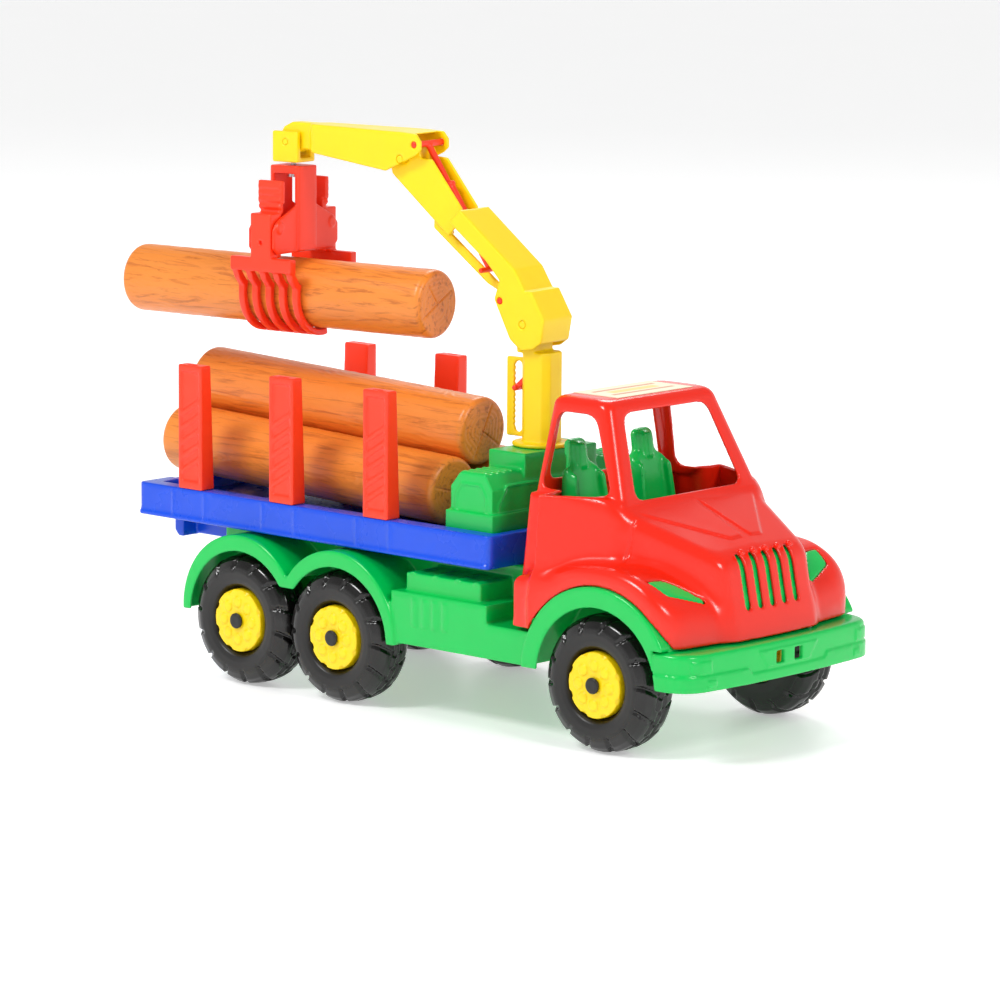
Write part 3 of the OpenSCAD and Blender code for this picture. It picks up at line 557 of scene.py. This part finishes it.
def build_seats():
    low, high = box_mm("seat_insert", LORRY)
    m = Mould(LORRY, low - 1, high + 1, 1.0)
    seats = melt(one_seat(m, -37), one_seat(m, 37), 1)
    plate = m.box((-85.2, -60, 116), (42, 60, 118.5), 0.5)
    field = melt(plate, seats, 1)
    for x in (-82, 36):
        for y in (-50, 50):
            field = take(field, m.rod(2, (x, y), 5.2))
    m.cast("seats_moulded", np.maximum(field, -85.3 - m.x), green_polypropylene, ["seat_insert"], "lorry")


# ---------- chassis ----------


def bumper_skin(m):
    """Outer form of the wrap-round bumper, with a ledge that drops towards its middle."""
    wide = np.abs(m.y)
    ledge = 65.6 - 4.5 * rise((45 - wide) / 5)
    proud = 1.2 * rise((ledge - m.z) / 1.6)
    front = m.x - 88.5 + 0.0006 * wide ** 2 - proud
    skin = meet(front, wide - 107.6 - proud, 24)
    return meet(skin, m.z - 80, 4)


def build_chassis():
    low, high = box_mm("chassis", LORRY)
    m = Mould(LORRY, low, high, 0.95)
    field = m.node("chassis", 1)
    field = take(field, m.box((61, -120, 30), (100, 120, 90)))
    field = take(field, m.box((52, 100, 30), (100, 120, 81)))
    field = take(field, m.box((52, -120, 30), (100, -100, 81)))
    skin = bumper_skin(m)
    bumper = np.maximum(take(skin, skin + 3), np.maximum(52 - m.x, 53 - m.z))
    wheel_gap = np.sqrt(m.x ** 2 + (m.z - AXLE_Z) ** 2) - 55
    bumper = take(bumper, wheel_gap, 1)
    wide = np.abs(m.y)
    badge = np.maximum(np.abs(wide - 90) - 8.5, np.abs(m.z - 70.5) - 4.2)
    small_badge = np.maximum(np.abs(wide - 82) - 4.5, np.abs(m.z - 58.5) - 2.6)
    panel = np.maximum(np.abs(m.z - 68.8) - 6.2, (wide - 24 - 0.75 * (m.z - 63)) * 0.8)
    raised = np.maximum(melt(melt(badge, small_badge, 0), panel, 0), 60 - m.x)
    bumper = melt(bumper, meet(raised, np.abs(skin) - 0.9, 0.6), 0.5)
    hole = np.maximum(np.abs(wide - 10.3), np.abs(m.z - 68.5)) - 4.4
    bumper = take(bumper, np.maximum(hole, 75 - m.x), 0.7)
    field = melt(field, bumper, 1.2)
    m.cast("chassis_moulded", field, green_polypropylene, ["chassis"], "lorry")


# ---------- crane base ----------


def base_details(m, field):
    """Raised frames on the faces of the base, and ribs on its shoulders."""
    near = m.sheet(0, [(-77, 134), (77, 134), (77, 160), (66, 177), (-66, 177), (-77, 160)], 1)
    frame_line = meet(np.abs(near + 5) - 0.9, np.abs(m.x + 124.2) - 1.0)
    side = m.sheet(1, [(-163, 134), (-126, 134), (-126, 166), (-133, 177), (-155, 177), (-163, 166)], 1)
    side_line = meet(np.abs(side + 4) - 0.9, np.abs(np.abs(m.y) - 79) - 0.8)
    return melt(melt(field, frame_line, 0.8), side_line, 0.8)


# ---------- wheels ----------

LUGS = 14
TYRE_R = middle("front_axle").z / MM
TYRE_LOW, TYRE_HIGH = box_mm("tyre_front_left", LORRY)
TYRE_IN, TYRE_OUT = TYRE_LOW[1], TYRE_HIGH[1]
HUB_R = 24


def tyre_profile():
    """Half section of a tyre as (radius, y) points, from the bore round the outside and back."""
    keys = [(HUB_R + 0.2, TYRE_IN + 0.3), (HUB_R + 8, TYRE_IN), (TYRE_R - 11, TYRE_IN + 0.4),
            (TYRE_R - 4, TYRE_IN + 3.5), (TYRE_R - 0.8, TYRE_IN + 8.5), (TYRE_R, TYRE_IN + 14),
            (TYRE_R, TYRE_OUT - 14),
            (TYRE_R - 0.8, TYRE_OUT - 8.5), (TYRE_R - 4, TYRE_OUT - 3.5), (TYRE_R - 9, TYRE_OUT - 0.8),
            (TYRE_R - 12.5, TYRE_OUT), (HUB_R + 7.5, TYRE_OUT - 0.5), (HUB_R + 4, TYRE_OUT - 1.6),
            (HUB_R + 2.2, TYRE_OUT - 4), (HUB_R + 1.4, TYRE_OUT - 6.5), (HUB_R + 0.2, TYRE_OUT - 7)]
    points = []
    for (r0, y0), (r1, y1) in zip(keys, keys[1:]):
        parts = max(1, round(math.hypot(r1 - r0, y1 - y0) / (1.1 * COARSER)))
        points += [(r0 + (r1 - r0) * i / parts, y0 + (y1 - y0) * i / parts) for i in range(parts)]
    return np.array(points + [keys[-1]])


def tread_depth(angle, y, r):
    """How deep the tread is cut at a place on the tyre: two rows of chunky lugs, half a pitch apart
    over the two shoulders, with a stepped groove between the rows."""
    middle_y = (TYRE_IN + TYRE_OUT) / 2
    side = np.sign(y - middle_y)
    out = np.abs(y - middle_y)
    pitch = 2 * math.pi / LUGS
    skew = 0.10 * (out - 9) / 9
    phase = ((angle + np.where(side > 0, 0.5, 0.0) * pitch + skew) / pitch) % 1.0
    edge = np.abs(phase - 0.5) * pitch * TYRE_R
    block = rise((edge - 1.3) / 0.9)
    groove = rise((np.abs(out - 1.5 - 3.0 * (phase > 0.5)) - 0.7) / 0.8)
    on_tread = rise((r - (TYRE_R - 13)) / 5)
    return 2.1 * on_tread * (1 - block * groove)


def build_tyres():
    profile = tyre_profile()
    turns = LUGS * int(20 / COARSER)
    angles = np.arange(turns) * 2 * math.pi / turns
    angle, r = np.meshgrid(angles, profile[:, 0], indexing="ij")
    y = np.broadcast_to(profile[:, 1], r.shape)
    cut = tread_depth(angle, y, r)
    tangent = np.gradient(profile, axis=0)
    normal = np.stack([tangent[:, 1], -tangent[:, 0]], 1)
    normal /= np.linalg.norm(normal, axis=1)[:, None]
    outward = r - cut * normal[:, 0]
    y = y - cut * normal[:, 1]
    count = len(profile)
    faces, kinds = [], []
    for i in range(turns):
        a, b = i * count, ((i + 1) % turns) * count
        for j in range(count):
            k = (j + 1) % count
            faces.append((a + j, b + j, b + k, a + k))
            kinds.append(0 if profile[j, 0] > TYRE_R - 10 else 1)
    for i, row in enumerate(("front", "middle", "rear")):
        at = (middle(row + "_axle").x - LORRY[0][3]) / MM
        for side, way in (("left", 1), ("right", -1)):
            turn = angle * way + 0.35 * i
            points = np.stack([at + outward * np.cos(turn), y * way, AXLE_Z + outward * np.sin(turn)], -1)
            name = "tyre_" + row + "_" + side
            piece = place(name + "_moulded", points.reshape(-1, 3), faces, LORRY,
                          [tread_polyethylene, sidewall_polyethylene], [name], body_of_node[name])
            piece.data.polygons.foreach_set("material_index", kinds)


def hub_details(m, field):
    """Eight low round bosses on the face of a wheel centre."""
    at_x = (m.x[0, 0, 0] + m.x[-1, 0, 0]) / 2
    out = 1 if m.y.mean() > 0 else -1
    for k in range(8):
        a = k * math.pi / 4
        x, z = at_x + 14.2 * math.cos(a), AXLE_Z + 14.2 * math.sin(a)
        boss = m.rod(1, (x, z), 4.3, -1e3, 1e3)
        dome = meet(boss, np.abs(m.y * out - 109.3) - 1.0, 1.6)
        field = melt(field, dome, 0.8)
    return field


# ---------- logs ----------


slide = Vector(joints["top_log_slide"]["axis"])
LOG_TILT = math.atan2(slide.z, -slide.x)


def log_surface():
    """Points of a log along x, centred on the origin: bark ridges run along it, bend round knots, and
    the ends show growth rings and two drying cracks."""
    radius, half, edge = 26.0, 142.5, 5.0
    step = 1.1 * COARSER
    turns = int(2 * math.pi * radius / step)
    keys = [(0.3, -half)]
    keys += [(r, -half) for r in np.arange(1.2, radius - edge, step)]
    keys += [(radius - edge + edge * math.sin(a), -half + edge - edge * math.cos(a))
             for a in np.linspace(0, math.pi / 2, 7)]
    keys += [(radius, x) for x in np.arange(-half + edge + step, half - edge, step * 1.4)]
    keys += [(radius - edge + edge * math.cos(a), half - edge + edge * math.sin(a))
             for a in np.linspace(0, math.pi / 2, 7)]
    keys += [(r, half) for r in np.arange(radius - edge - step, 1.2, -step)]
    keys += [(0.3, half)]
    profile = np.array(keys)
    angle, r = np.meshgrid(np.arange(turns) * 2 * math.pi / turns, profile[:, 0], indexing="ij")
    x = np.broadcast_to(profile[:, 1], r.shape).copy()
    around = angle * radius
    knots = [(-78, 30), (60, 24), (-10, 75), (95, 110), (-105, 125), (20, 140), (-60, 90)]
    bend = np.zeros_like(r)
    rings = np.zeros_like(r)
    for kx, ka in knots:
        da = (around - ka + math.pi * radius) % (2 * math.pi * radius) - math.pi * radius
        near = np.exp(-((x - kx) / 17) ** 2 - (da / 7.5) ** 2)
        bend += 5.5 * np.tanh(da / 3.0) * near
        away = np.sqrt(((x - kx) / 1.9) ** 2 + da ** 2)
        rings += 0.28 * np.cos(away * 1.9) * np.exp(-(away / 5.0) ** 2)
    wander = 1.6 * np.sin(x / 23 + 1.3 * np.sin(around / 17)) + 0.8 * np.sin(x / 9 + around / 6)
    lane = (around - bend + wander) / 3.3
    ridges = np.sin(2 * math.pi * lane) * (0.55 + 0.45 * np.sin(x / 14 + 3.1 * np.floor(lane)))
    along = rise((half - np.abs(x) - 1) / 6)
    depth = along * (0.17 * ridges + rings + 0.10 * np.sin(4 * math.pi * lane + x / 19))
    end = np.clip((radius - edge + 2 - r) / 3, 0, 1)
    wobble = r + 1.1 * np.sin(3 * angle + 0.6) + 0.6 * np.sin(5 * angle)
    ring = 0.22 * np.sin(wobble * 1.75)
    crack = np.exp(-((r * np.sin(angle - 0.7)) / 0.7) ** 2) * rise((r - 1) / 3)
    crack += np.exp(-((r * np.sin(angle - 2.1)) / 0.55) ** 2) * (np.cos(angle - 2.1) > 0) * rise((r - 1) / 3)
    sink = end * (0.35 - ring + 0.9 * np.clip(crack, 0, 1))
    r = r - np.where(end > 0, 0, 0.35 - depth)
    x = x - np.sign(x) * sink
    return angle, r, x, turns, len(profile)


def build_logs():
    angle, r, x, turns, count = log_surface()
    faces = []
    for i in range(turns):
        a, b = i * count, ((i + 1) % turns) * count
        faces += [(a + j, b + j, b + j + 1, a + j + 1) for j in range(count - 1)]
    ends = [[i * count for i in range(turns)], [i * count + count - 1 for i in reversed(range(turns))]]
    spots = [("lower_log_left", LORRY, 0.4), ("lower_log_right", LORRY, 2.2), ("top_log", LORRY, 3.6),
             ("gripped_log", CRANE, 5.1)]
    for name, space, roll in spots:
        low, high = box_mm(name, space)
        at = (low + high) / 2
        tilt = LOG_TILT if space is LORRY else 0.0
        side, rise_by = r * np.cos(angle + roll), r * np.sin(angle + roll)
        points = np.stack([at[0] + x * math.cos(tilt) + rise_by * math.sin(tilt), at[1] + side,
                           at[2] - x * math.sin(tilt) + rise_by * math.cos(tilt)], -1)
        place(name + "_moulded", points.reshape(-1, 3), [list(f) for f in faces] + ends, space,
              timber_polyethylene, [name], body_of_node[name])


# ---------- all pieces ----------

build_cab()
build_seats()
build_chassis()
build_tyres()
build_logs()
remould("crane_base", green_polypropylene, step=0.75, change=base_details)
remould("load_bed", blue_polypropylene, step=0.85)
remould("rear_bracket", blue_polypropylene, step=0.9)
for side in ("left", "right"):
    for row in ("rear", "middle", "front"):
        remould("stake_" + side + "_" + row, orange_polypropylene, step=0.7)
        remould("hub_" + row + "_" + side, yellow_polypropylene, step=0.7, change=hub_details)
remould("axle_caps", sidewall_polyethylene, step=0.8)
for name in ("crane_column", "boom", "boom_pin", "jib", "jib_pin", "knuckle", "knuckle_pin"):
    remould(name, yellow_polypropylene, CRANE, step=0.75)
for name in ("boom_strut", "jib_strut", "grapple_housing", "jaw_right", "jaw_left"):
    remould(name, orange_polypropylene, CRANE, step=0.7)

for name, shown in frame["nodes"].items():
    if shown.hide_render:
        continue
    shown.data.materials.clear()
    shown.data.materials.append(label_film if name == "roof_label" else steel)

# ---------- studio ----------


def build_studio():
    floor_mesh = bpy.data.meshes.new("studio_floor")
    reach = 60.0
    corners = [(-reach, -reach, 0), (reach, -reach, 0), (reach, reach, 0), (-reach, reach, 0)]
    floor_mesh.from_pydata(corners, [], [(0, 1, 2, 3)])
    floor = bpy.data.objects.new("studio_floor", floor_mesh)
    floor.location.z = -0.0003
    bpy.context.scene.collection.objects.link(floor)
    paper = new_material("white_coated_board")
    where = add_node(paper, "ShaderNodeTexCoord")
    mottle = add_node(paper, "ShaderNodeTexNoise", {"Scale": 6.0, "Detail": 3.0},
                      {"Vector": (where, "Object")})
    sheen = add_node(paper, "ShaderNodeMapRange", {"To Min": 0.34, "To Max": 0.37},
                     {"Value": (mottle, "Fac")})
    finish_material(paper, {"Base Color": (0.93, 0.93, 0.93, 1), "IOR": 1.45, "Emission Color": (1, 1, 1, 1),
                            "Emission Strength": 0.38}, {"Roughness": (sheen, "Result")})
    floor_mesh.materials.append(paper)

    world = bpy.data.worlds.new("white_tent")
    world.use_nodes = True
    sky = world.node_tree.nodes.new("ShaderNodeTexCoord")
    split = world.node_tree.nodes.new("ShaderNodeSeparateXYZ")
    fade = world.node_tree.nodes.new("ShaderNodeValToRGB")
    fade.color_ramp.elements[0].position = 0.12
    fade.color_ramp.elements[0].color = (1.05, 1.05, 1.05, 1)
    fade.color_ramp.elements[1].position = 0.55
    fade.color_ramp.elements[1].color = (0.34, 0.34, 0.34, 1)
    world.node_tree.links.new(sky.outputs["Generated"], split.inputs["Vector"])
    world.node_tree.links.new(split.outputs["Z"], fade.inputs["Fac"])
    world.node_tree.links.new(fade.outputs["Color"], world.node_tree.nodes["Background"].inputs["Color"])
    bpy.context.scene.world = world

    centre = (cad_low + cad_high) / 2
    panels = [("key_panel", (-0.6, -2.2, 2.6), 0.9, 62), ("side_panel", (2.6, -0.4, 1.8), 0.7, 30),
              ("back_panel", (-1.5, 2.2, 2.4), 1.2, 34)]
    for name, spot, size, power in panels:
        lamp = bpy.data.lights.new(name, "AREA")
        lamp.size = size
        lamp.energy = power
        panel = bpy.data.objects.new(name, lamp)
        panel.location = centre + Vector(spot)
        panel.rotation_mode = "QUATERNION"
        panel.rotation_quaternion = Vector(spot).to_track_quat("Z", "Y")
        bpy.context.scene.collection.objects.link(panel)


def build_camera():
    turn, height, roll = math.radians(41.80), math.radians(9.284), math.radians(0.44)
    back = Vector((math.sin(turn) * math.cos(height), -math.cos(turn) * math.cos(height), math.sin(height)))
    right = Vector((math.cos(turn), math.sin(turn), 0))
    up = back.cross(right)
    right, up = (right * math.cos(roll) + up * math.sin(roll),
                 up * math.cos(roll) - right * math.sin(roll))
    eye = bpy.data.cameras.new("camera")
    eye.lens = 173.70
    eye.sensor_width = 36
    camera = bpy.data.objects.new("camera", eye)
    axes = Matrix((right, up, back)).transposed().to_4x4()
    camera.matrix_world = Matrix.Translation((2.38813, -2.63609, 0.72559)) @ axes
    bpy.context.scene.collection.objects.link(camera)
    bpy.context.scene.camera = camera


build_studio()
build_camera()
bpy.context.scene.view_settings.view_transform = "Standard"
